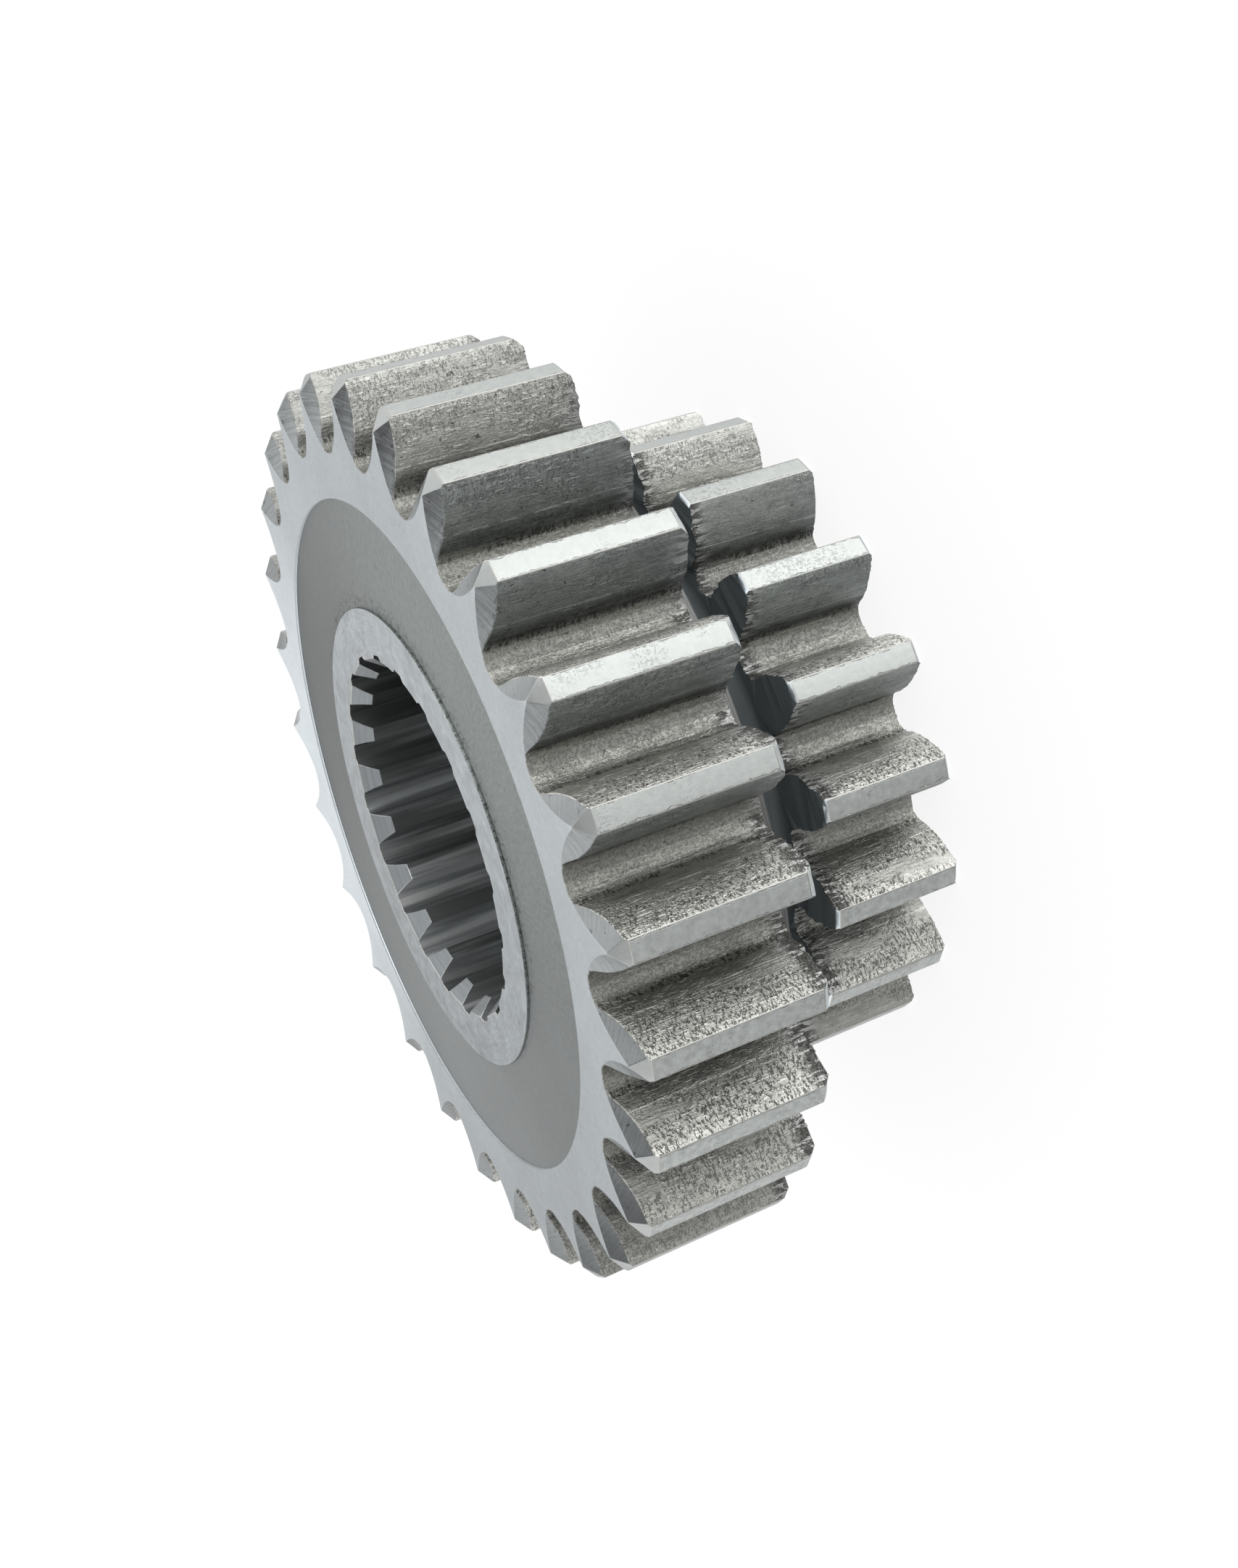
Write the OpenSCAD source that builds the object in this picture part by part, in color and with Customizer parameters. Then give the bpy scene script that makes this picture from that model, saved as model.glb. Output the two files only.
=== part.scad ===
// Sliding power take-off gear: two spur rims of one module turned from a single forging,
// with a fork groove between them and a splined bore right through.
// It stands on the end face of the small rim, with its axis along +Z.

/* [Teeth] */
// Module of both rims: pitch diameter divided by the number of teeth
gear_module = 3.5; // [3:0.25:4.5]
// Pressure angle of both rims
pressure_angle = 20; // [18:0.5:24]
// Number of teeth on the large rim
large_teeth = 27; // [25:1:33]
// Number of teeth on the small rim
small_teeth = 19; // [18:1:22]
// Height of a tooth above its pitch circle, in modules
addendum = 1; // [0.8:0.05:1.1]
// Depth of a tooth space below its pitch circle, in modules
dedendum = 1.25; // [1.15:0.05:1.35]
// Radius of the fillet along each tooth root
root_fillet_r = 1.5; // [0.8:0.1:1.6]
// Thickness taken off each tooth so that it runs free
tooth_play = 0.12; // [0.02:0.02:0.3]
// Angle by which the small rim's teeth are turned from the large rim's
small_rim_turn = 4.4; // [0:0.1:18]

/* [Widths along the axis] */
// Face width of the large rim
large_w = 20.2; // [14:0.1:30]
// Width of the fork groove between the rims
groove_w = 8.6; // [6:0.1:16]
// Face width of the small rim
small_w = 14.7; // [10:0.1:24]

/* [Fork groove] */
// Depth of the groove's floor below the tooth roots of the small rim
groove_step = 1.9; // [1:0.1:3]
// Turned fillet in the two corners of the groove
groove_fillet_r = 1; // [0.4:0.1:1.5]
// Length of the turned shoulder left between the groove and the large rim's teeth
shoulder_len = 0.9; // [0.5:0.1:2]
// Depth of that shoulder below the tooth roots of the large rim
shoulder_step = 0.4; // [0.2:0.1:1]
// Corner broken off the shoulder at the groove
shoulder_corner = 0.25; // [0.1:0.05:0.4]

/* [Engaging ends of the large rim] */
// Radial size of the turned cone on the tooth tips at the front face
entry_cone_r = 1.8; // [1:0.1:2.4]
// Length of that cone along the axis
entry_cone_len = 1.55; // [1:0.05:2.5]
// Diameter of the end mill that points the front ends of the teeth
pointing_mill_d = 19; // [16:0.5:24]
// Tilt of the mill's axis out of the front face
pointing_tilt = 18.6; // [16:0.2:21]
// Chamfer on the tooth tips at the groove
rear_chamfer = 0.8; // [0.3:0.1:1.2]

/* [Ends of the small rim] */
// Radial size of the chamfer on the tooth tips, the same at both ends
small_chamfer_r = 0.4; // [0.2:0.1:1]
// Length of that chamfer along the axis
small_chamfer_len = 0.4; // [0.2:0.1:1.2]

/* [Front face] */
// Width of the flat rim left outside the recess, from the tooth roots inwards
rim_land_w = 4.9; // [3:0.1:7]
// Width of the flat ring round the bore
hub_land_w = 5.1; // [3:0.1:7]
// Depth of the shallow recess between the two flats
recess_depth = 0.3; // [0.2:0.1:2]

/* [Spline bore] */
// Number of splines
spline_teeth = 20; // [16:1:22]
// Module of the splines
spline_module = 2; // [1.75:0.05:2.2]
// Pressure angle of the splines
spline_pressure_angle = 30; // [28:0.5:34]
// Play added to each spline space
spline_play = 0.06; // [0.02:0.02:0.2]
// Rounding in the root corners of each spline space
spline_fillet_r = 0.45; // [0.2:0.05:0.5]
// Length of the lead-in cone at each end of the bore
lead_in_len = 2; // [1:0.1:3]
// How far short of the spline roots the lead-in cone stops
lead_in_land = 0.5; // [0.2:0.1:0.8]

/* [Hidden] */

$fn = 96;
// Straight steps along one involute flank, one root fillet and one spline flank
flank_steps = 5;
fillet_steps = 3;
spline_steps = 3;
// How far a cutting tool passes the surface that it leaves
overrun = 1;

// Heights of the groove's two walls, of the large rim's teeth and of the front face
groove_z = small_w;
shoulder_z = groove_z + groove_w;
large_z = shoulder_z + shoulder_len;
length = large_z + large_w;

function pitch_r(m, teeth) = m * teeth / 2;
large_tip_r = pitch_r(gear_module, large_teeth) + addendum * gear_module;
large_root_r = pitch_r(gear_module, large_teeth) - dedendum * gear_module;
small_tip_r = pitch_r(gear_module, small_teeth) + addendum * gear_module;
small_root_r = pitch_r(gear_module, small_teeth) - dedendum * gear_module;
groove_r = small_root_r - groove_step;

spline_pitch_r = pitch_r(spline_module, spline_teeth);
spline_root_r = spline_pitch_r + spline_module / 2;
spline_tip_r = spline_pitch_r - spline_module / 2;
lead_in_r = spline_root_r - lead_in_land;

recess_outer_r = large_root_r - rim_land_w;
recess_inner_r = spline_root_r + hub_land_w;

// Involute function of an angle, as an angle in degrees
function involute(a) = tan(a) * 180 / PI - a;

// Half of the angle that a tooth takes up at radius r, for a tooth as thick as
// its space on the pitch circle, less the play
function tooth_half_angle(r, m, teeth, angle, play) =
    let (
        base_r = pitch_r(m, teeth) * cos(angle),
        at_r = acos(min(1, base_r / r))
    )
    90 / teeth + involute(angle) - involute(at_r) - play / 2 / pitch_r(m, teeth) * 180 / PI;

function polar(r, a) = [r * cos(a), r * sin(a)];
function mirrored(points) = [for (i = [len(points) - 1 : -1 : 0]) [points[i].x, -points[i].y]];

// Points along a round corner about a centre
function corner(centre, r, from, to) =
    [for (i = [0 : fillet_steps]) centre + polar(r, from + (to - from) * i / fillet_steps)];

// One side of the space between two teeth, centred on +X: the flank from past the tip
// circle down to the base circle, then the fillet into the root circle
function space_side(teeth, tip_r, root_r) =
    let (
        base_r = pitch_r(gear_module, teeth) * cos(pressure_angle),
        foot_r = max(base_r, root_r + root_fillet_r),
        top_r = tip_r + overrun,
        pitch = 180 / teeth,
        foot_a = pitch - tooth_half_angle(foot_r, gear_module, teeth, pressure_angle, tooth_play),
        centre_r = root_r + root_fillet_r,
        centre_a = foot_a - asin(root_fillet_r / centre_r),
        centre = polar(centre_r, centre_a),
        sweep = 90 - asin(root_fillet_r / centre_r)
    )
    concat(
        [for (i = [0 : flank_steps])
            let (r = top_r + (foot_r - top_r) * i / flank_steps)
            polar(r, pitch - tooth_half_angle(r, gear_module, teeth, pressure_angle, tooth_play))],
        corner(centre, root_fillet_r, foot_a + 90, foot_a + 90 + sweep)
    );

// Profile of one tooth space, ready to be cut from the blank
module tooth_space(teeth, tip_r, root_r) {
    side = space_side(teeth, tip_r, root_r);
    polygon(concat(side, mirrored(side)));
}

// One side of a spline space, centred on +X: the flank from inside the bore out to
// a small round in the root corner
function spline_side() =
    let (
        start_r = spline_tip_r - overrun,
        end_r = spline_root_r - spline_fillet_r,
        root_a = tooth_half_angle(spline_root_r, spline_module, spline_teeth, spline_pressure_angle,
                                  -spline_play) - spline_fillet_r / spline_root_r * 180 / PI / 2
    )
    concat(
        [for (i = [0 : spline_steps])
            let (r = start_r + (end_r - start_r) * i / spline_steps)
            polar(r, tooth_half_angle(r, spline_module, spline_teeth, spline_pressure_angle, -spline_play))],
        [polar(spline_root_r, root_a)]
    );

module spline_space() {
    side = spline_side();
    polygon(concat(side, mirrored(side)));
}

// The turned blank: both rims with their chamfered tips, the fork groove between them
// with filleted corners, and the narrow shoulder beside the large rim's teeth
module blank() {
    shoulder_r = large_root_r - shoulder_step;
    rotate_extrude()
        polygon(concat(
            [
                [0, 0],
                [small_tip_r - small_chamfer_r, 0],
                [small_tip_r, small_chamfer_len],
                [small_tip_r, groove_z - small_chamfer_len],
                [small_tip_r - small_chamfer_r, groove_z]
            ],
            corner([groove_r + groove_fillet_r, groove_z + groove_fillet_r], groove_fillet_r, 270, 180),
            corner([groove_r + groove_fillet_r, shoulder_z - groove_fillet_r], groove_fillet_r, 180, 90),
            [
                [shoulder_r - shoulder_corner, shoulder_z],
                [shoulder_r, shoulder_z + shoulder_corner],
                [shoulder_r, large_z],
                [large_tip_r - rear_chamfer, large_z],
                [large_tip_r, large_z + rear_chamfer],
                [large_tip_r, length - entry_cone_len],
                [large_tip_r - entry_cone_r, length],
                [0, length]
            ]
        ));
}

// The tooth spaces of the large rim, with a tooth centred on +X
module large_spaces() {
    for (i = [0 : large_teeth - 1])
        rotate([0, 0, (i + 0.5) * 360 / large_teeth])
            translate([0, 0, large_z - shoulder_len / 2])
                linear_extrude(height = large_w + shoulder_len / 2 + overrun)
                    tooth_space(large_teeth, large_tip_r, large_root_r);
}

// The tooth spaces of the small rim
module small_spaces() {
    for (i = [0 : small_teeth - 1])
        rotate([0, 0, small_rim_turn + (i + 0.5) * 360 / small_teeth])
            translate([0, 0, -overrun])
                linear_extrude(height = small_w + 2 * overrun)
                    tooth_space(small_teeth, small_tip_r, small_root_r);
}

// An end mill in each space of the large rim, leaning outwards, that bevels the two
// flanks beside it and just meets the root circle at the front face
module pointing_cuts() {
    mill_r = pointing_mill_d / 2;
    reach = large_tip_r;
    axis_r = large_root_r + mill_r / sin(pointing_tilt);
    for (i = [0 : large_teeth - 1])
        rotate([0, 0, (i + 0.5) * 360 / large_teeth])
            translate([axis_r, 0, length])
                rotate([0, pointing_tilt - 90, 0])
                    translate([0, 0, -reach])
                        cylinder(r = mill_r, h = 2 * reach);
}

// The shallow recess in the front face
module recess() {
    translate([0, 0, length - recess_depth])
        rotate_extrude()
            translate([recess_inner_r, 0])
                square([recess_outer_r - recess_inner_r, recess_depth + overrun]);
}

// The bore: the circle through the spline tips, its two lead-in cones and the spaces
module bore() {
    translate([0, 0, -overrun])
        cylinder(r = spline_tip_r, h = length + 2 * overrun);
    cone_run = lead_in_r - spline_tip_r;
    for (end = [0, 1])
        translate([0, 0, end * length])
            mirror([0, 0, end])
                rotate_extrude()
                    polygon([
                        [0, -overrun],
                        [lead_in_r, -overrun],
                        [lead_in_r, 0],
                        [lead_in_r - cone_run, lead_in_len],
                        [0, lead_in_len]
                    ]);
    for (i = [0 : spline_teeth - 1])
        rotate([0, 0, i * 360 / spline_teeth])
            translate([0, 0, -overrun])
                linear_extrude(height = length + 2 * overrun)
                    spline_space();
}

module pto_gear() {
    color("lightsteelblue")
        difference() {
            blank();
            large_spaces();
            small_spaces();
            pointing_cuts();
            recess();
            bore();
        }
}

pto_gear();
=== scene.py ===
"""Power take-off gear, dressed as worn machined steel on a plain pale floor."""

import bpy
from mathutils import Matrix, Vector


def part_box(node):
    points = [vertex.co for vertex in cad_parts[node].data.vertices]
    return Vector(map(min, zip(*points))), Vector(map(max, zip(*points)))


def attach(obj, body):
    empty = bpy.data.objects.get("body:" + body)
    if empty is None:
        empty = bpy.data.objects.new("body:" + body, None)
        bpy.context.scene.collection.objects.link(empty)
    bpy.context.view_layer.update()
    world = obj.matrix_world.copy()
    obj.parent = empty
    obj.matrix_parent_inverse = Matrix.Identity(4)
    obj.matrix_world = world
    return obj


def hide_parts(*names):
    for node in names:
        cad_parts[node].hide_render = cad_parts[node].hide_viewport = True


bl_info = {
    "name": "Power take-off gear",
    "version": (1, 0, 0),
    "blender": (4, 5, 0),
    "location": "View3D > Sidebar > Gear",
    "description": "Edges, tool marks and worn steel for a sliding power take-off gear",
    "category": "Object",
}

import math

import bmesh
import bpy
from bpy.props import FloatProperty, FloatVectorProperty, PointerProperty
from mathutils import Matrix, Vector, noise

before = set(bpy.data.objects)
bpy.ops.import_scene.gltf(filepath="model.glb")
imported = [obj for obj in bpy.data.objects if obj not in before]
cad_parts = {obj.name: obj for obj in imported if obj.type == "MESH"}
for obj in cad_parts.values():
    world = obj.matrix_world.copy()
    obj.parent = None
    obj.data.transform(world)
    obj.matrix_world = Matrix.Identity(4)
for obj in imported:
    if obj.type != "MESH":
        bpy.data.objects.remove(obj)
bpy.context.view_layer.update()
NODE = "pto_gear"
FLOOR_Z, FRONT_Z = (corner.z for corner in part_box(NODE))

MM = 0.001

# The gear's own sizes, as in the part's source
LARGE_TEETH, LARGE_TIP_R, LARGE_ROOT_R = 27, 50.75 * MM, 42.875 * MM
SMALL_TEETH, SMALL_TIP_R, SMALL_ROOT_R = 19, 36.75 * MM, 28.875 * MM
SMALL_TURN = math.radians(4.4)
GROOVE_Z, SHOULDER_Z, LARGE_Z = 14.7 * MM, 23.3 * MM, 24.2 * MM
REAR_CHAMFER = 0.8 * MM
RECESS_OUTER_R, RECESS_INNER_R, RECESS_DEPTH = 37.975 * MM, 26.1 * MM, 0.3 * MM
SPLINE_ROOT_R = 21.0 * MM
POINTING_TILT = math.radians(18.6)
# Half of a land's width on each rim
LARGE_LAND, SMALL_LAND = 1.21 * MM, 1.14 * MM

# The photograph's camera: its place in mm, the picture's two directions, its long side and the sensor.
# The place, the directions and focal_px were fitted by a program to corners read from the photograph.
CAMERA_PLACE = (157.66, -115.97, 94.62)
CAMERA_RIGHT = (0.07883, -0.46059, -0.8841)
CAMERA_DOWN = (-0.64858, -0.6972, 0.30539)
PICTURE_LONG_SIDE_PX = 2163
SENSOR_WIDTH = 36.0

# The light that the steel mirrors, in soft lobes: its level, then each one's direction, tightness and
# strength. These numbers were fitted by a program to the photograph's tones.
STUDIO_LEVEL = 1.192
STUDIO = (
    ((0.31, -0.43, -0.85), 2.0, -0.908),
    ((0.81, 0.0, -0.58), 10.8, 1.622),
    ((-0.15, 0.01, 0.99), 16.8, -1.092),
    ((-0.77, 0.615, -0.18), 18.5, -2.394),
    ((-0.747, 0.621, -0.235), 51.0, 6.473),
)


class GearSettings(bpy.types.PropertyGroup):
    """Edges and colours of the gear"""

    edge_radius: FloatProperty(
        name="Edge radius", description="Rounding of the worn edges",
        default=0.09 * MM, min=0.02 * MM, max=0.3 * MM, subtype="DISTANCE", unit="LENGTH")
    face_color: FloatVectorProperty(
        name="Ground faces", description="Colour of the ground front faces",
        default=(0.52, 0.555, 0.575), subtype="COLOR", size=3, min=0, max=1)
    recess_color: FloatVectorProperty(
        name="Recess", description="Colour of the turned recess",
        default=(0.235, 0.247, 0.248), subtype="COLOR", size=3, min=0, max=1)
    land_color: FloatVectorProperty(
        name="Tooth lands", description="Colour of the lands on the tooth tips",
        default=(0.55, 0.575, 0.56), subtype="COLOR", size=3, min=0, max=1)
    bevel_color: FloatVectorProperty(
        name="Bevels", description="Colour of the milled bevels on the tooth points",
        default=(0.29, 0.305, 0.31), subtype="COLOR", size=3, min=0, max=1)
    # Painted light and shade: both flank colours are one steel, the coast colour its shaded copy and the
    # drive colour its lit copy
    shaded_coast_color: FloatVectorProperty(
        name="Coast flanks", description="Colour of the tooth flanks on the unloaded side",
        default=(0.22, 0.235, 0.23), subtype="COLOR", size=3, min=0, max=1)
    lit_drive_color: FloatVectorProperty(
        name="Drive flanks", description="Colour of the tooth flanks on the loaded side",
        default=(0.50, 0.50, 0.47), subtype="COLOR", size=3, min=0, max=1)
    # Painted shade: the groove's colour is dark because shade falls there
    groove_shade_color: FloatVectorProperty(
        name="Groove", description="Colour of the fork groove",
        default=(0.14, 0.16, 0.165), subtype="COLOR", size=3, min=0, max=1)
    hub_color: FloatVectorProperty(
        name="Hub ring", description="Colour of the ring round the bore",
        default=(0.435, 0.465, 0.48), subtype="COLOR", size=3, min=0, max=1)
    cone_color: FloatVectorProperty(
        name="Entry cone", description="Colour of the turned facets on the tooth tips",
        default=(0.47, 0.49, 0.48), subtype="COLOR", size=3, min=0, max=1)
    edge_color: FloatVectorProperty(
        name="Worn edges", description="Colour of the rubbed edges",
        default=(0.50, 0.51, 0.50), subtype="COLOR", size=3, min=0, max=1)
    bore_color: FloatVectorProperty(
        name="Bore", description="Colour of the spline bore",
        default=(0.44, 0.455, 0.46), subtype="COLOR", size=3, min=0, max=1)


class StageSettings(bpy.types.PropertyGroup):
    """Floor, lamps and camera"""

    floor_size: FloatProperty(
        name="Floor size", description="Side of the square floor",
        default=12.0, min=1.0, max=40.0, subtype="DISTANCE", unit="LENGTH")
    shadow_share: FloatProperty(
        name="Shadow", description="Share of the floor's tone that its shadow may take away",
        default=0.2, min=0.0, max=1.0, subtype="FACTOR")
    key_power: FloatProperty(
        name="Key lamp", description="Power of the large lamp above the photographed side",
        default=0.6, min=0.0, max=100.0, subtype="POWER", unit="POWER")
    studio_contrast: FloatProperty(
        name="Studio contrast", description="How much the light round the gear varies from side to side",
        default=1.0, min=0.0, max=1.5)
    focal_px: FloatProperty(
        name="Focal length", description="Focal length in pixels of the 1708 by 2163 picture",
        default=2539.0, min=1000.0, max=6000.0)


class Tone:
    """A number in a shader. Arithmetic on it adds Math nodes."""

    def __init__(self, shade, socket):
        self.shade = shade
        self.socket = socket

    def math(self, operation, *others):
        inputs = {i: value for i, value in enumerate((self,) + others)}
        return self.shade.node("ShaderNodeMath", {"operation": operation}, inputs)

    def __add__(self, other):
        return self.math("ADD", other)

    __radd__ = __add__

    def __mul__(self, other):
        return self.math("MULTIPLY", other)

    __rmul__ = __mul__

    def __sub__(self, other):
        return self.math("SUBTRACT", other)

    def __rsub__(self, other):
        return self * -1 + other

    def __truediv__(self, other):
        return self.math("DIVIDE", other)

    def __pow__(self, other):
        return self.math("POWER", other)

    def __abs__(self):
        return self.math("ABSOLUTE")

    def above(self, low, high):
        """Rises smoothly from 0 at low to 1 at high."""
        return self.shade.node(
            "ShaderNodeMapRange", {"interpolation_type": "SMOOTHSTEP"},
            {0: self, 1: low, 2: high, 3: 0.0, 4: 1.0})

    def between(self, low, high, soft):
        """1 between low and high, fading over soft on both sides."""
        return self.above(low - soft, low + soft) * (1 - self.above(high - soft, high + soft))

    def capped(self):
        return self.math("MINIMUM", 1.0).math("MAXIMUM", 0.0)


class Shade:
    """One material's nodes, written as Python expressions."""

    def __init__(self, name, world=False):
        self.material = (bpy.data.worlds if world else bpy.data.materials).new(name)
        self.material.use_nodes = True
        self.tree = self.material.node_tree
        self.tree.nodes.clear()
        if world:
            self.way = self.node("ShaderNodeTexCoord", out="Generated")
            return
        self.place = self.node("ShaderNodeTexCoord", out="Object")
        parts = self.node("ShaderNodeSeparateXYZ", inputs={0: self.place}).socket.node
        self.x, self.y, self.z = (Tone(self, parts.outputs[axis]) for axis in "XYZ")
        self.radius = (self.x * self.x + self.y * self.y) ** 0.5
        self.angle = self.y.math("ARCTAN2", self.x)

    def node(self, kind, settings=None, inputs=None, out=0):
        """Adds a node: its settings first, then the values or links of its sockets."""
        node = self.tree.nodes.new(kind)
        for name, value in (settings or {}).items():
            setattr(node, name, value)
        for key, value in (inputs or {}).items():
            if isinstance(value, Tone):
                self.tree.links.new(value.socket, node.inputs[key])
            elif isinstance(value, tuple) and len(value) == 3 and node.inputs[key].type == "RGBA":
                node.inputs[key].default_value = (*value, 1.0)
            else:
                node.inputs[key].default_value = value
        return Tone(self, node.outputs[out])

    def vector(self, x, y, z):
        return self.node("ShaderNodeCombineXYZ", inputs={0: x, 1: y, 2: z})

    def stretched(self, along_x, along_y, along_z):
        """The place, with its axes scaled."""
        return self.node("ShaderNodeVectorMath", {"operation": "MULTIPLY"},
                         {0: self.place, 1: (along_x, along_y, along_z)})

    def turned(self, degrees, stretch):
        """The place turned about the gear's axis, with its second axis scaled."""
        cosine, sine = math.cos(math.radians(degrees)), math.sin(math.radians(degrees))
        along = self.x * cosine + self.y * sine
        return self.vector(along, (self.y * cosine - self.x * sine) * stretch, self.z)

    def tooth(self, teeth, turn):
        """Where a point lies in its tooth: 0 on the middle, 0.5 in the middle of a space."""
        return (self.angle * (teeth / math.tau) + (0.5 - turn * teeth / math.tau)).math("FRACT") - 0.5

    def drift(self, toward, fold):
        """A slow change round the axis: 1 towards an angle in degrees, -1 half a turn or less away."""
        return ((self.angle - math.radians(toward)) * fold).math("COSINE")

    def scratches(self, degrees, per_mm):
        """Thin lines that run one way and break off."""
        field = self.noise(self.turned(degrees, 0.04), per_mm, 2.0, 0.5)
        shown = self.noise(self.place, per_mm * 0.25, 2.0).above(0.5, 0.62)
        return (1 - abs(field - 0.5).above(0.0, 0.012)) * shown

    def curls(self, place, per_mm, thickness):
        """Short thin curled marks."""
        lines = 1 - abs(self.noise(place, per_mm, 2.0, 0.5, 0.8) - 0.5).above(0.3 * thickness, thickness)
        return lines * self.noise(place, per_mm * 0.9 + 0.3, 1.0).above(0.47, 0.54)

    def noise(self, place, per_mm, detail=3.0, roughness=0.55, distortion=0.0):
        return self.node("ShaderNodeTexNoise", None,
                         {"Vector": place, "Scale": per_mm / MM, "Detail": detail,
                          "Roughness": roughness, "Distortion": distortion})

    def cells(self, place, per_mm, feature="F1"):
        return self.node("ShaderNodeTexVoronoi", {"feature": feature},
                         {"Vector": place, "Scale": per_mm / MM}, "Distance")

    def mix(self, share, first, second):
        """From the first colour to the second."""
        return self.node("ShaderNodeMix", {"data_type": "RGBA"}, {0: share, 6: first, 7: second}, 2)

    def lighten(self, color, factor):
        """A colour multiplied by a grey number."""
        grey = self.vector(factor, factor, factor)
        return self.node("ShaderNodeVectorMath", {"operation": "MULTIPLY"}, {0: color, 1: grey})

    def bump(self, height, depth):
        """A bump of that depth in metres."""
        return self.node("ShaderNodeBump", None, {"Height": height, "Distance": depth, "Strength": 1.0})

    def steel(self, color, roughness, normal, metallic=1.0):
        """Ends the material in a Principled shader."""
        shader = self.node("ShaderNodeBsdfPrincipled", None,
                           {"Base Color": color, "Roughness": roughness, "Metallic": metallic,
                            "Normal": normal})
        self.node_output(shader)
        return self.material

    def lobe(self, toward, tightness):
        """In a world: 1 towards a direction, falling to 0 away from it."""
        cosine = self.node("ShaderNodeVectorMath", {"operation": "DOT_PRODUCT"},
                           {0: self.way, 1: tuple(Vector(toward).normalized())}, "Value")
        return (cosine * 0.5 + 0.5) ** tightness

    def node_output(self, shader, kind="ShaderNodeOutputMaterial"):
        output = self.tree.nodes.new(kind)
        self.tree.links.new(shader.socket, output.inputs["Surface"])


def rim_face(color):
    """The ground rim at the front: even and faintly mottled, with fine scratches and a few specks."""
    s = Shade("ground_rim_face")
    cloud = s.noise(s.place, 0.12, 4.0)
    mottle = s.noise(s.place, 1.5, 4.0, 0.65, 0.6)
    marks = s.scratches(25, 1.1) + s.scratches(-50, 0.9)
    specks = s.noise(s.place, 2.6, 2.0).above(0.68, 0.72) * s.noise(s.place, 0.15, 2.0).above(0.48, 0.6)
    # Light and shade as in the photograph, then the metal's own marks
    tone = 0.96 + 0.3 * s.drift(128, 1).above(0.5, 1.0) + 0.12 * s.drift(105, 1) + 0.1 * s.drift(130, 2)
    tone = tone + 0.14 * (cloud - 0.5) + 0.3 * (mottle - 0.5) + 0.1 * marks.capped() - 0.35 * specks
    normal = s.bump(mottle - 0.3 * marks, 0.012 * MM)
    return s.steel(s.lighten(color, tone + 0.08), 0.36 + 0.12 * cloud, normal)


def recess_floor(color):
    """The turned recess: fine wavy rings, a darker drift to one side, pits and rough edges."""
    s = Shade("turned_recess")
    rings = s.noise(s.vector(s.radius, s.angle * 0.0012, 0.0), 6.0, 2.0, 0.6)
    wave = s.noise(s.place, 2.0, 3.0, 0.65, 1.0)
    cloud = s.noise(s.place, 0.07, 3.0)
    lit = s.drift(-15, 1).above(0.1, 0.9)
    ripple = s.noise(s.vector(s.radius * 0.5, s.angle * (32 * MM), 0.0), 2.2, 2.0, 0.55, 0.6) - 0.5
    pits = 1 - s.cells(s.place, 0.28).above(0.03, 0.055)
    sparse = s.noise(s.place, 0.16, 2.0).above(0.52, 0.6)
    torn = s.noise(s.place, 1.9, 3.0, 0.7).above(0.52, 0.6) * s.noise(s.place, 0.12, 2.0).above(0.42, 0.55)
    from_hub = (s.radius - RECESS_INNER_R) / MM
    near_hub = 1 - (from_hub + 3.0 * (cloud - 0.5)).above(0.3, 2.4)
    curled = s.curls(s.place, 1.9, 0.08) * near_hub * s.drift(0, 1).above(-0.2, 0.4)
    rough_edge = (0.45 * torn * (1 - from_hub.above(0.2, 1.1)) + curled).capped()
    # Light and shade as in the photograph, then the metal's own marks
    tone = 1.03 + 0.18 * s.drift(8, 2) - 0.14 * s.drift(100, 1)
    tone = tone + 0.2 * (cloud - 0.5) + 0.16 * (rings - 0.5) + 0.36 * (wave - 0.5)
    # The ripple is the metal's own, shown only on the lit side as painted light
    tone = tone + 0.7 * lit * ripple - 0.06 * s.scratches(70, 0.8)
    tone = tone * (1 - 0.7 * pits * sparse) * (1 - 0.6 * rough_edge)
    normal = s.bump(rings + 1.4 * wave + 1.5 * lit * ripple - 2.0 * rough_edge, 0.01 * MM)
    # Painted light: the lit side of the recess takes a slightly less blue colour
    lit_side_tint = s.mix(0.7 * lit, color, (0.223, 0.246, 0.237))
    return s.steel(s.lighten(lit_side_tint, tone), 0.4, normal)


def hub_ring(color):
    """The flat ring round the bore: paler, with cloudy scratches."""
    s = Shade("worn_hub_ring")
    cloud = s.noise(s.place, 0.45, 5.0, 0.62, 0.8)
    swirl = s.noise(s.vector(s.radius, s.angle * 0.004, 0.0), 2.8, 4.0, 0.7)
    marks = s.scratches(80, 1.0) + s.scratches(10, 1.3)
    # Light and shade as in the photograph first, then the metal's own marks
    tone = 1.0 + 0.1 * s.drift(10, 1) + 0.85 * (cloud - 0.5) + 0.7 * (swirl - 0.5) + 0.2 * marks.capped()
    return s.steel(s.lighten(color, tone), 0.32 + 0.2 * cloud, s.bump(swirl + cloud, 0.012 * MM))


def entry_cone(color):
    """The turned cone on the tips at the front: small flat facets with faint cracks."""
    s = Shade("turned_entry_cone")
    fine = s.noise(s.place, 1.6, 4.0, 0.6)
    cracks = 1 - s.cells(s.place, 0.9, "DISTANCE_TO_EDGE").above(0.01, 0.05)
    tone = 1.0 + 0.18 * (fine - 0.5) - 0.12 * cracks * fine.above(0.5, 0.6)
    return s.steel(s.lighten(color, tone), 0.38, s.bump(fine, 0.008 * MM))


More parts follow.
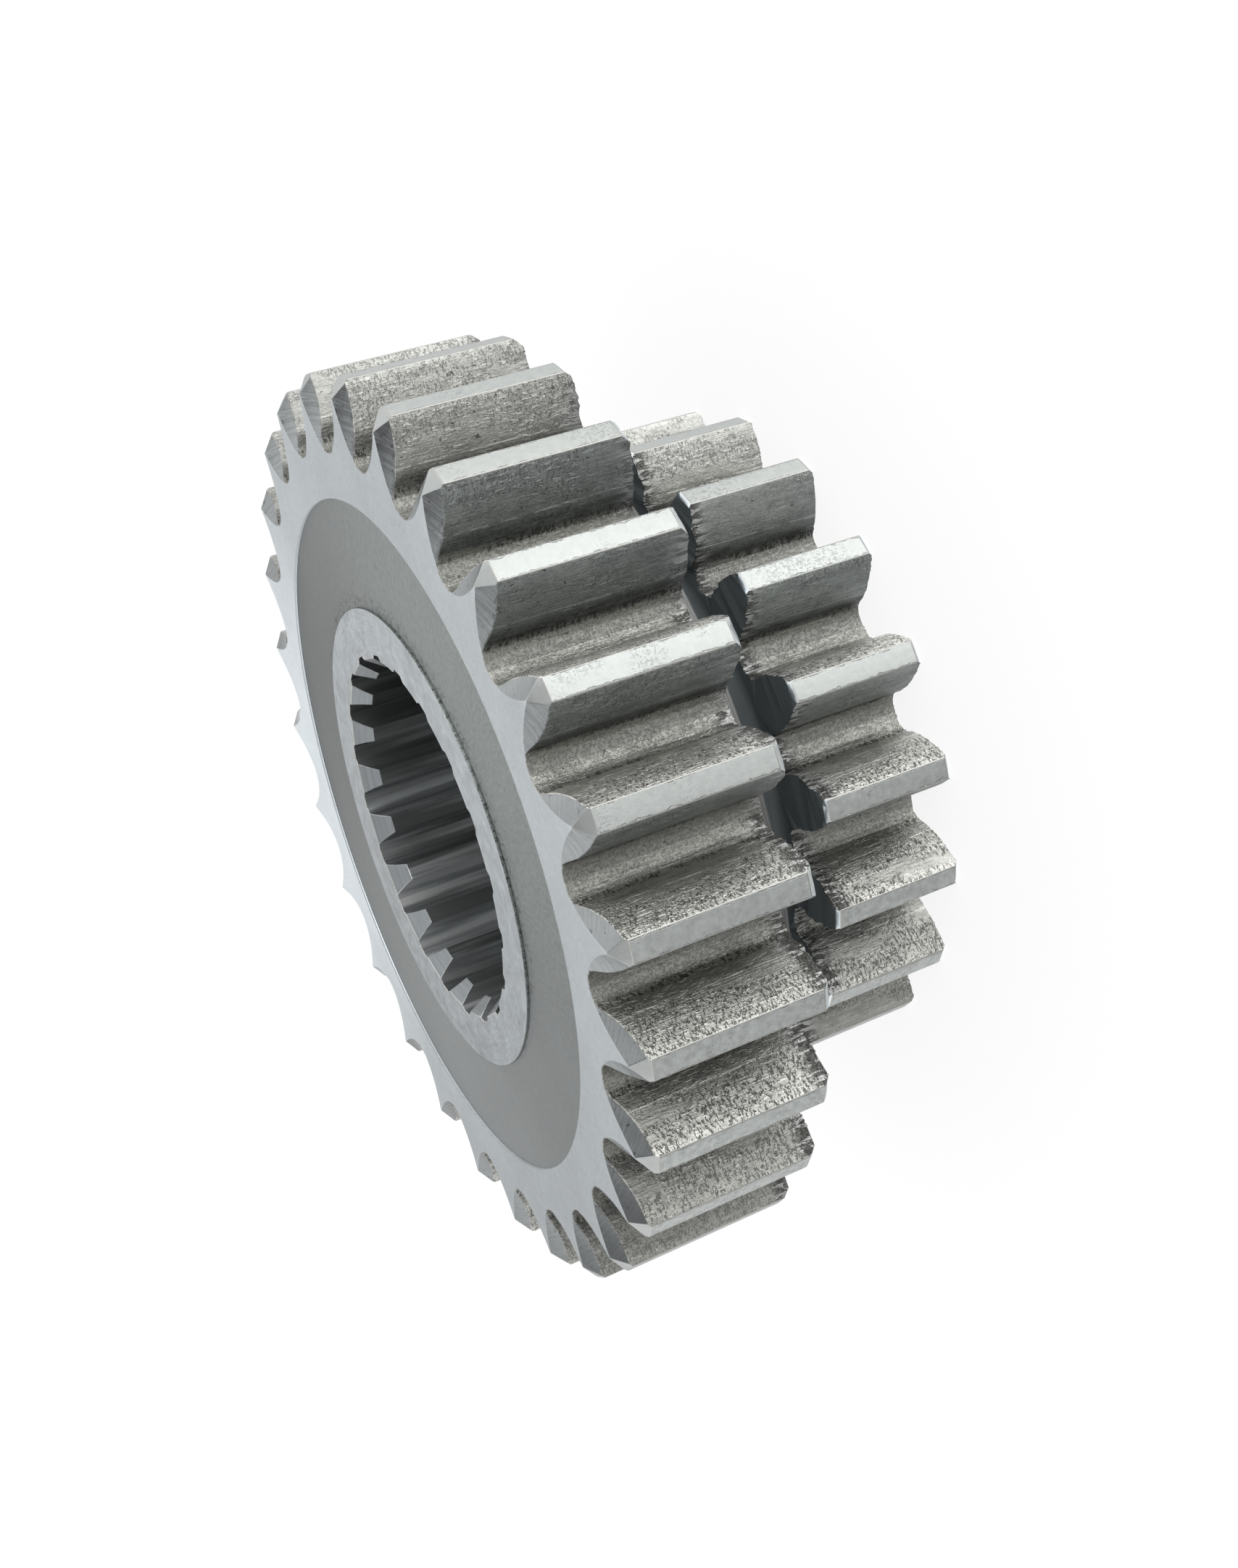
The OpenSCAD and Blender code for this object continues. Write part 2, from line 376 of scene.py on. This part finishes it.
def pointed_bevel(color):
    """The milled bevels: fine lines round the mill, which fan a little, and burrs near the edges."""
    s = Shade("milled_bevel")
    reach = s.z * math.sin(POINTING_TILT) - s.radius * math.cos(POINTING_TILT)
    across = (s.angle * (LARGE_TEETH / math.tau)).math("FRACT")
    lines = s.noise(s.vector(reach, across * 0.6 * MM, 0.0), 5.5, 3.0, 0.65)
    broad = s.noise(s.vector(reach, across * 0.4 * MM, 0.0), 1.4, 2.0, 0.6)
    fine = s.noise(s.place, 2.5, 3.0)
    nicks = s.noise(s.place, 1.7, 2.0).above(0.66, 0.7)
    drive = s.tooth(LARGE_TEETH, 0.0).above(-0.01, 0.01)
    lined = (1.3 * (lines - 0.5) + 0.7 * (broad - 0.5)) * (1 - 0.6 * drive)
    # Light and shade as in the photograph, on each side of the teeth
    on_drive = 0.2 * s.drift(-10, 1).above(0.9, 1.0) - 0.26 * s.drift(-95, 1).above(0.75, 1.0)
    on_coast = 0.3 * s.drift(-60, 1).above(0.8, 1.0) - 0.35 * s.drift(15, 1).above(0.9, 1.0)
    lit = drive * on_drive + (1 - drive) * on_coast
    tone = 1.0 + lined + lit + 0.25 * (fine - 0.5) - 0.35 * nicks
    return s.steel(s.lighten(color, tone.math("MAXIMUM", 0.3)), 0.36, s.bump(lined, 0.03 * MM))


def tooth_land(name, color, teeth, turn, tip_r, half_width):
    """The lands: pale, with small blotches, fine lines across and ragged lips at the edges."""
    s = Shade(name)
    aside = s.tooth(teeth, turn) * (math.tau / teeth * tip_r)
    peel = s.noise(s.place, 1.3, 4.0, 0.62)
    worn = s.noise(s.place, 0.13, 2.0).above(0.47, 0.64)
    specks = s.curls(s.place, 2.8, 0.07) * worn
    rust = s.noise(s.stretched(1, 1, 0.6), 0.8, 4.0, 0.7).above(0.66, 0.74)
    lines = s.noise(s.stretched(0.04, 0.04, 1), 5.0, 2.0)
    ragged = s.noise(s.stretched(1, 1, 0.7), 1.1, 4.0, 0.7)
    from_edge = (half_width - abs(aside)) - (ragged - 0.40) * 0.9 * MM
    lip = 1 - from_edge.above(-0.05 * MM, 0.02 * MM)
    outline = 1 - abs(from_edge).above(0.02 * MM, 0.09 * MM)
    # Mottled more on one side of the gear, as in the photograph
    # Painted shade: the lands' own mottling grows stronger towards the side of the gear turned from the light
    mottled = 0.3 + 0.7 * s.drift(-100, 1).above(0.45, 0.95)
    tone = 1.0 + 0.1 * (lines - 0.5) + mottled * (peel - 0.5) - 0.25 * specks + 0.06 * lip
    pale = s.lighten(color, tone)
    stained = s.mix(0.6 * rust, pale, (0.20, 0.16, 0.12))
    outlined = s.mix(0.6 * outline, stained, (0.16, 0.155, 0.145))
    relief = peel + 0.3 * lines - 0.6 * specks - 1.2 * outline
    return s.steel(outlined, 0.34 + 0.14 * peel, s.bump(relief, 0.025 * MM))


def tooth_flank(name, colors, teeth, turn, root_r, tip_r, from_torn_end, torn, combed, coast):
    """The hobbed flanks: lined along the tooth, torn in rows near the tips, and paler
    and crackled at the root and the torn end."""
    s = Shade(name)
    height = (s.radius - root_r) / (tip_r - root_r)
    end = from_torn_end(s.z) / MM
    drive = s.tooth(teeth, turn).above(-0.01, 0.01)

    # Light and shade as in the photograph: the flanks change tone from tooth to tooth
    # Painted light: the coast flanks on one part of the gear take a paler colour
    lit_coast_side = s.angle.above(math.radians(-4), math.radians(16))
    lower = s.mix(lit_coast_side, s.lighten(colors[0], coast), s.lighten((0.43, 0.435, 0.41), coast))
    turned_from_light = s.drift(-112, 1).above(0.86, 1.0)
    facing_light = s.drift(-25, 1).above(0.85, 1.0)
    # Painted light and shade: the drive side of each tooth takes the lit colour, the coast side the shaded
    # one
    steel = s.mix(drive, lower, s.lighten(colors[1], 1 + 0.35 * facing_light - 0.4 * turned_from_light))

    # Lines that the hob leaves along the tooth, and the grain of the metal
    streak = s.noise(s.stretched(1, 1, 0.05), 0.9, 3.0, 0.6)
    rows = s.noise(s.stretched(1, 1, 0.05), 4.8, 3.0, 0.65)
    grain = s.noise(s.stretched(1, 1, 0.8), 3.2, 3.0, 0.65)
    squiggle = 1 - abs(s.noise(s.stretched(1, 1, 0.8), 1.7, 3.0, 0.6, 0.5) - 0.5).above(0.0, 0.045)
    blotch = s.noise(s.stretched(1, 1, 0.6), 0.7, 3.0, 0.6)
    wander = s.noise(s.stretched(1, 1, 0.3), 0.3, 3.0)

    # Tears: short dark ticks across the tooth and pale dashes along it, in patches
    patch = s.noise(s.stretched(1, 1, 0.4), 0.22, 3.0, 0.65) + 0.25 * (height - 0.65) + 0.12 * drive
    patch = patch.above(0.56 - 0.1 * torn, 0.66 - 0.1 * torn)
    # The ticks fade on the flanks turned from the light, as part of the painted shade there
    ticks = s.curls(s.stretched(1, 1, 2.2), 1.6, 0.085) * patch * (1 - 0.5 * turned_from_light)
    ticks = ticks * (0.55 + 0.45 * drive) * (1 - 0.8 * drive * (1 - height.above(0.25, 0.55)))
    dash = s.noise(s.stretched(1, 1, 0.3), 3.3, 1.0)
    dashes = dash.above(0.56, 0.66) * (0.25 + 0.75 * patch)

    # The torn end: paler, with short grooves along the tooth
    comb = s.noise(s.stretched(1, 1, 0.25), 2.2, 3.0, 0.6, 0.4)
    ridges = 1 - comb.above(0.43, 0.55)
    combs = combed + (1 - combed) * drive
    torn_end = 1 - (end - 0.4 * drive + 2.4 * (comb - 0.5) + 1.6 * (blotch - 0.5)).above(0.4, 2.3)
    grooves = comb.above(0.45, 0.54) * torn_end * combs

    # A pale band at the root, a painted highlight along the curved root, crackled and with small curled marks
    # in a row
    root_band = 1 - (height + 0.25 * (wander - 0.5)).above(0.06, 0.2)
    curl = s.noise(s.stretched(1, 1, 2.6), 1.2, 1.0, 0.5, 0.8)
    curled = curl.above(0.52, 0.57) * height.between(0.08, 0.19, 0.03) * wander.above(0.38, 0.48)
    crackle = s.noise(s.stretched(1, 1, 1.1), 3.2, 2.0, 0.6, 0.5).above(0.53, 0.58) * root_band
    pits = s.noise(s.place, 1.6, 2.0, 0.6).above(0.68, 0.73)

    # A fine raised line left along the middle of the flank
    witness = (1 - abs(height + 0.05 * (wander - 0.5) - 0.42).above(0.0, 0.02)) * blotch.above(0.4, 0.5)

    lines = (rows - 0.5) * (0.55 + 0.4 * drive)
    tone = 1.03 + 0.6 * (streak - 0.5) + lines + 0.7 * (grain - 0.5) + 0.7 * (blotch - 0.5)
    tone = tone + 0.45 * witness + 0.35 * dashes - 0.16 * squiggle
    # Painted light and shade along the height: lighter towards the tips, and a painted dark band low on the
    # flank above the root
    tone = tone + 0.2 * height.above(0.84, 0.98) + 0.35 * (height - 0.5) * drive
    tone = tone - (0.5 - 0.35 * drive) * height.between(0.1, 0.36, 0.08)
    dark = s.lighten(steel, tone.math("MAXIMUM", 0.15))
    banded = s.mix((0.75 - 0.4 * drive) * root_band, dark, s.lighten((0.34, 0.335, 0.31), 0.5 + grain))
    worn = s.mix((0.25 + 0.4 * combs) * torn_end, banded, s.lighten((0.48, 0.49, 0.48), 0.35 + 0.75 * ridges))
    marks = (ticks + 0.25 * crackle + curled + pits + 0.9 * grooves).capped()
    marked = s.mix(0.8 * marks, worn, (0.06, 0.058, 0.052))
    relief = 0.3 * streak + lines + 0.9 * grain + 0.5 * dashes + 0.3 * witness - 0.15 * squiggle
    relief = relief - 0.5 * crackle - 1.1 * ticks - 1.3 * grooves - 0.6 * curled
    return s.steel(marked, 0.38 + 0.16 * grain, s.bump(relief, 0.07 * MM))


def chamfer_strip(color):
    """The turned chamfers and rear faces."""
    s = Shade("turned_chamfer")
    fine = s.noise(s.place, 1.2, 4.0, 0.6)
    return s.steel(s.lighten(color, 1.5 + 0.5 * fine), 0.36, s.bump(fine, 0.02 * MM))


def worn_edge(color, dull):
    """The rubbed edges: bright where they are worn and dull where they aren't."""
    s = Shade("worn_edge")
    rubbed = s.noise(s.place, 0.9, 4.0, 0.7).above(0.48, 0.6)
    fine = s.noise(s.place, 3.0, 2.0)
    return s.steel(s.lighten(s.mix(rubbed, dull, color), 0.8 + 0.4 * fine), 0.34, s.bump(fine, 0.01 * MM))


def turned_shoulder():
    """The narrow shoulder: grey and dull, with two faint turned lines."""
    s = Shade("turned_shoulder")
    lines = SHOULDER_Z + 0.35 * MM, SHOULDER_Z + 0.65 * MM
    bright = sum(1 - abs(s.z - level).above(0.02 * MM, 0.07 * MM) for level in lines)
    fine = s.noise(s.stretched(1, 1, 4), 1.5, 3.0)
    # Painted shade: the shoulder sits in the groove beside the large rim, so its base is near black
    dull = s.lighten((0.10, 0.103, 0.10), 1.0 + 0.8 * fine)
    return s.steel(s.mix(0.45 * bright, dull, (0.30, 0.30, 0.29)), 0.42, s.bump(fine, 0.01 * MM), 0.8)


def dark_groove(color):
    """The fork groove: dark as painted shade, and dull, with fine turned rings."""
    s = Shade("fork_groove")
    rings = s.noise(s.vector(s.radius, s.z, s.angle * 0.0006), 3.0, 2.0)
    return s.steel(s.lighten(color, 0.76 + 0.22 * rings), 0.75, s.bump(rings, 0.004 * MM), 0.1)


def lead_in_cone(color):
    """The turned lead-in cone: as pale as the hub ring, with rings round the bore."""
    s = Shade("turned_lead_in")
    rings = s.noise(s.vector(s.radius, s.z, s.angle * 0.001), 3.0, 3.0)
    return s.steel(s.lighten(color, 0.45 + 0.3 * rings), 0.4, s.bump(rings, 0.01 * MM))


def bore_steel(color):
    """The splines: dark, rubbed bright in streaks along the bore."""
    s = Shade("broached_bore")
    streak = s.noise(s.stretched(1, 1, 0.04), 1.4, 3.0)
    rubbed = s.noise(s.stretched(1, 1, 0.06), 0.35, 3.0, 0.6).above(0.45, 0.7)
    # Light and shade as in the photograph
    lit = s.drift(-165, 1)
    rubbed = rubbed * (0.4 + 0.8 * lit.above(-0.3, 0.7))
    tone = (0.52 + 0.4 * (streak - 0.5) + 1.2 * rubbed) * (1 + 0.6 * lit)
    return s.steel(s.lighten(color, tone.math("MAXIMUM", 0.1)), 0.34, s.bump(streak, 0.012 * MM))


SLOTS = ("rim", "recess", "hub", "cone", "bevel", "large_land", "large_flank", "small_flank", "chamfer",
         "groove", "bore", "small_land", "shoulder", "edge", "lead_in")
LANDS = {"large_land", "small_land"}
FLANKS = {"large_flank", "small_flank"}


def zone(center, normal):
    """The slot of a face, from where it lies and which way it looks."""
    radius = math.hypot(center.x, center.y)
    outward = (normal.x * center.x + normal.y * center.y) / radius
    close = 0.05 * MM
    if radius < SPLINE_ROOT_R + close and abs(normal.z) < 0.9:
        return "lead_in" if abs(normal.z) > 0.2 else "bore"
    if normal.z > 0.99:
        if center.z < FRONT_Z - close:
            return "recess" if center.z > FRONT_Z - RECESS_DEPTH - close else "groove"
        return "hub" if radius < (RECESS_INNER_R + RECESS_OUTER_R) / 2 else "rim"
    if normal.z < -0.99:
        return "chamfer" if center.z < GROOVE_Z or center.z > SHOULDER_Z + close else "groove"
    if center.z > LARGE_Z + close:
        if radius < RECESS_OUTER_R + close:
            return "rim" if radius > RECESS_OUTER_R - close * 10 else "recess"
        if outward > 0.99:
            return "large_land" if radius > LARGE_TIP_R - 4 * close else "large_flank"
        if center.z < LARGE_Z + REAR_CHAMFER and normal.z < -0.3:
            return "chamfer"
        if normal.z > 0.7 and outward > 0.6:
            return "cone"
        if normal.z > 0.15:
            return "bevel"
        return "large_flank"
    if center.z > GROOVE_Z:
        return "shoulder" if center.z > SHOULDER_Z and radius > SMALL_TIP_R else "groove"
    if outward > 0.99:
        return "small_land" if radius > SMALL_TIP_R - close * 4 else "small_flank"
    if abs(normal.z) > 0.3:
        return "chamfer"
    return "small_flank"


class GEAR_OT_dress_gear(bpy.types.Operator):
    """Round the gear's edges and give each surface its finish"""

    bl_idname = "gear.dress_gear"
    bl_label = "Dress gear"

    def execute(self, context):
        settings = context.scene.gear
        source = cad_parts[NODE]
        mesh = bpy.data.meshes.new("worn_gear")
        bm = bmesh.new()
        bm.from_mesh(source.data)
        bmesh.ops.remove_doubles(bm, verts=bm.verts, dist=0.004 * MM)
        bm.normal_update()
        for face in bm.faces:
            face.material_index = SLOTS.index(zone(face.calc_center_median(), face.normal))
        bmesh.ops.dissolve_limit(bm, angle_limit=math.radians(1.0), verts=bm.verts, edges=bm.edges,
                                 delimit={"MATERIAL"})
        self.ragged_ends(bm)
        bevelled = bmesh.ops.bevel(bm, geom=self.sharp_edges(bm), offset=settings.edge_radius,
                                   offset_type="OFFSET", segments=2, profile=0.5, affect="EDGES",
                                   clamp_overlap=False, material=-1)
        self.wear_edges(set(bevelled["faces"]))
        for vert in bm.verts:
            vert.co.z = min(max(vert.co.z, FLOOR_Z), FRONT_Z)
        bmesh.ops.triangulate(bm, faces=[f for f in bm.faces if len(f.verts) > 4])
        for face in bm.faces:
            face.smooth = True
        bm.to_mesh(mesh)
        bm.free()
        mesh.set_sharp_from_angle(angle=math.radians(35))
        piece = bpy.data.objects.new("worn_gear", mesh)
        context.scene.collection.objects.link(piece)
        flanks = tuple(settings.shaded_coast_color), tuple(settings.lit_drive_color)
        finishes = {
            "rim": rim_face(tuple(settings.face_color)),
            "recess": recess_floor(tuple(settings.recess_color)),
            "hub": hub_ring(tuple(settings.hub_color)),
            "cone": entry_cone(tuple(settings.cone_color)),
            "bevel": pointed_bevel(tuple(settings.bevel_color)),
            "large_land": tooth_land("large_tooth_land", tuple(settings.land_color), LARGE_TEETH, 0.0,
                                     LARGE_TIP_R, LARGE_LAND),
            "small_land": tooth_land("small_tooth_land", tuple(settings.land_color), SMALL_TEETH, SMALL_TURN,
                                     SMALL_TIP_R, SMALL_LAND),
            "large_flank": tooth_flank("large_tooth_flank", flanks, LARGE_TEETH, 0.0, LARGE_ROOT_R,
                                       LARGE_TIP_R, lambda z: z - LARGE_Z,
                                       torn=1.0, combed=0.3, coast=1.0),
            "small_flank": tooth_flank("small_tooth_flank", flanks, SMALL_TEETH, SMALL_TURN, SMALL_ROOT_R,
                                       SMALL_TIP_R, lambda z: z * -1 + GROOVE_Z,
                                       torn=0.5, combed=1.0, coast=1.2),
            "shoulder": turned_shoulder(),
            "edge": worn_edge(tuple(settings.edge_color), tuple(settings.lit_drive_color)),
            "chamfer": chamfer_strip(tuple(settings.face_color)),
            "groove": dark_groove(tuple(settings.groove_shade_color)),
            "bore": bore_steel(tuple(settings.bore_color)),
            "lead_in": lead_in_cone(tuple(settings.hub_color)),
        }
        for slot in SLOTS:
            mesh.materials.append(finishes[slot])
        weighted = piece.modifiers.new("weighted_normals", "WEIGHTED_NORMAL")
        weighted.mode = "FACE_AREA"
        weighted.weight = 60
        weighted.keep_sharp = True
        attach(piece, "root")
        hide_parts(NODE)
        return {"FINISHED"}

    def sharp_edges(self, bm):
        """The edges between two surfaces that meet at more than a slight angle."""
        bore = SLOTS.index("bore")
        between_surfaces, within_bore, never = 12, 32, 180
        sharp = []
        for edge in bm.edges:
            if len(edge.link_faces) == 2:
                zones = {face.material_index for face in edge.link_faces}
                least = between_surfaces if len(zones) == 2 else within_bore if zones == {bore} else never
                if edge.calc_face_angle(0) > math.radians(least):
                    sharp.append(edge)
        return sharp

    def wear_edges(self, strips):
        """Brighten the rounded edges of the lands and of the bore; the others match the duller side."""
        worn = {}
        for strip in strips:
            near = {strip, *(face for edge in strip.edges for face in edge.link_faces if face in strips)}
            beside = {SLOTS[face.material_index] for part in near for edge in part.edges
                      for face in edge.link_faces if face not in strips}
            if beside & LANDS or "hub" in beside and beside & {"bore", "lead_in"}:
                worn[strip] = "edge"
            elif beside & FLANKS:
                worn[strip] = min(beside & FLANKS)
        for strip, slot in worn.items():
            strip.material_index = SLOTS.index(slot)

    def ragged_ends(self, bm):
        """Cut the flanks' end edges short and let them wander along the tooth, as torn steel does."""
        flanks = {SLOTS.index("large_flank"), SLOTS.index("small_flank")}
        close, coarse, fine = 0.01 * MM, 900, 2300
        ends = ((LARGE_Z, 1.0, 0.20 * MM), (GROOVE_Z, -1.0, 0.42 * MM), (0.0, 1.0, 0.10 * MM))
        for level, inward, depth in ends:
            edges = [edge for edge in bm.edges
                     if all(abs(v.co.z - level) < close for v in edge.verts)
                     and any(face.material_index in flanks for face in edge.link_faces)]
            cut = bmesh.ops.subdivide_edges(bm, edges=edges, cuts=5)
            verts = {part for part in cut["geom"] if isinstance(part, bmesh.types.BMVert)}
            for edge in edges:
                if edge.is_valid:
                    verts.update(edge.verts)
            for vert in verts:
                if abs(vert.co.z - level) > close:
                    continue
                wave = noise.noise(vert.co * coarse) * 0.6 + noise.noise(vert.co * fine) * 0.4
                vert.co.z += inward * depth * min(1.0, max(0.0, 0.35 + 1.5 * wave))


class GEAR_OT_build_stage(bpy.types.Operator):
    """Lay the floor and set the lamps and the camera"""

    bl_idname = "gear.build_stage"
    bl_label = "Build stage"

    def execute(self, context):
        settings = context.scene.gear_stage
        scene = context.scene
        scene.view_settings.view_transform = "Standard"
        self.floor(settings)
        self.world(scene, settings)
        self.lamp("key_lamp", (0.62, -0.05, 0.20), (0.0, 0.0, 0.03), 0.45, settings.key_power)
        self.lamp("top_lamp", (-0.25, 0.30, 0.75), (0.0, 0.0, 0.03), 0.6, settings.key_power)
        self.camera(scene, settings)
        return {"FINISHED"}

    def floor(self, settings):
        mesh = bpy.data.meshes.new("floor")
        bm = bmesh.new()
        bmesh.ops.create_grid(bm, x_segments=1, y_segments=1, size=settings.floor_size / 2)
        bmesh.ops.translate(bm, verts=bm.verts, vec=(0, 0, FLOOR_Z - 0.02 * MM))
        bm.to_mesh(mesh)
        bm.free()
        floor = bpy.data.objects.new("floor", mesh)
        bpy.context.scene.collection.objects.link(floor)
        s = Shade("pale_floor")
        share = settings.shadow_share
        matte = s.node("ShaderNodeBsdfDiffuse", None, {"Color": (0.9, 0.9, 0.92)})
        shadow = s.node("ShaderNodeBsdfDiffuse", None, {"Color": (share, share, share)})
        glow = s.node("ShaderNodeEmission", None, {"Color": (1.0, 1.0, 1.0), "Strength": 1.05 - share})
        pale = s.node("ShaderNodeAddShader", None, {0: glow, 1: shadow})
        rays = s.node("ShaderNodeLightPath", out="Is Camera Ray")
        gloss = s.node("ShaderNodeLightPath", out="Is Glossy Ray")
        s.node_output(s.node("ShaderNodeMixShader", None, {0: (rays + gloss).capped(), 1: matte, 2: pale}))
        mesh.materials.append(s.material)
        floor.visible_glossy = False

    def world(self, scene, settings):
        s = Shade("studio", world=True)
        seen = s.node("ShaderNodeLightPath", out="Is Camera Ray")
        gloss = s.node("ShaderNodeLightPath", out="Is Glossy Ray")
        sides = sum(s.lobe(toward, tightness) * strength for toward, tightness, strength in STUDIO)
        studio = ((sides + (STUDIO_LEVEL - 1)) * settings.studio_contrast + 1).math("MAXIMUM", 0.03)
        plain = 1 - (seen + gloss).capped()
        strength = seen + gloss * studio + plain * 0.85
        white = s.node("ShaderNodeBackground", None, {"Color": (1.0, 1.0, 1.0), "Strength": strength})
        s.node_output(white, "ShaderNodeOutputWorld")
        scene.world = s.material

    def lamp(self, name, place, target, size, power):
        light = bpy.data.lights.new(name, "AREA")
        light.shape = "SQUARE"
        light.size = size
        light.energy = power
        lamp = bpy.data.objects.new(name, light)
        aim = Vector(target) - Vector(place)
        lamp.matrix_world = Matrix.Translation(place) @ aim.to_track_quat("-Z", "Y").to_matrix().to_4x4()
        bpy.context.scene.collection.objects.link(lamp)

    def camera(self, scene, settings):
        data = bpy.data.cameras.new("camera")
        data.sensor_fit = "AUTO"
        data.sensor_width = SENSOR_WIDTH
        data.lens = settings.focal_px / PICTURE_LONG_SIDE_PX * SENSOR_WIDTH
        data.clip_start = 0.01
        camera = bpy.data.objects.new("camera", data)
        scene.collection.objects.link(camera)
        right = Vector(CAMERA_RIGHT).normalized()
        up = -Vector(CAMERA_DOWN).normalized()
        back = right.cross(up)
        turn = Matrix((right, up, back)).transposed()
        place = Vector(CAMERA_PLACE) * MM
        camera.matrix_world = Matrix.Translation(place) @ turn.to_4x4()
        scene.camera = camera


class GEAR_PT_panel(bpy.types.Panel):
    """Lists the steps that build the gear's looks"""

    bl_idname = "GEAR_PT_panel"
    bl_label = "Power take-off gear"
    bl_space_type = "VIEW_3D"
    bl_region_type = "UI"
    bl_category = "Gear"

    def draw(self, context):
        layout = self.layout
        for group in (context.scene.gear, context.scene.gear_stage):
            for name in group.bl_rna.properties.keys():
                if name not in {"rna_type", "name"}:
                    layout.prop(group, name)
        layout.operator(GEAR_OT_dress_gear.bl_idname)
        layout.operator(GEAR_OT_build_stage.bl_idname)


CLASSES = (GearSettings, StageSettings, GEAR_OT_dress_gear, GEAR_OT_build_stage, GEAR_PT_panel)


def register():
    for cls in CLASSES:
        bpy.utils.register_class(cls)
    bpy.types.Scene.gear = PointerProperty(type=GearSettings)
    bpy.types.Scene.gear_stage = PointerProperty(type=StageSettings)


def unregister():
    del bpy.types.Scene.gear_stage
    del bpy.types.Scene.gear
    for cls in reversed(CLASSES):
        bpy.utils.unregister_class(cls)


def main():
    register()
    bpy.ops.gear.build_stage()
    bpy.ops.gear.dress_gear()


if __name__ == "__main__":
    main()
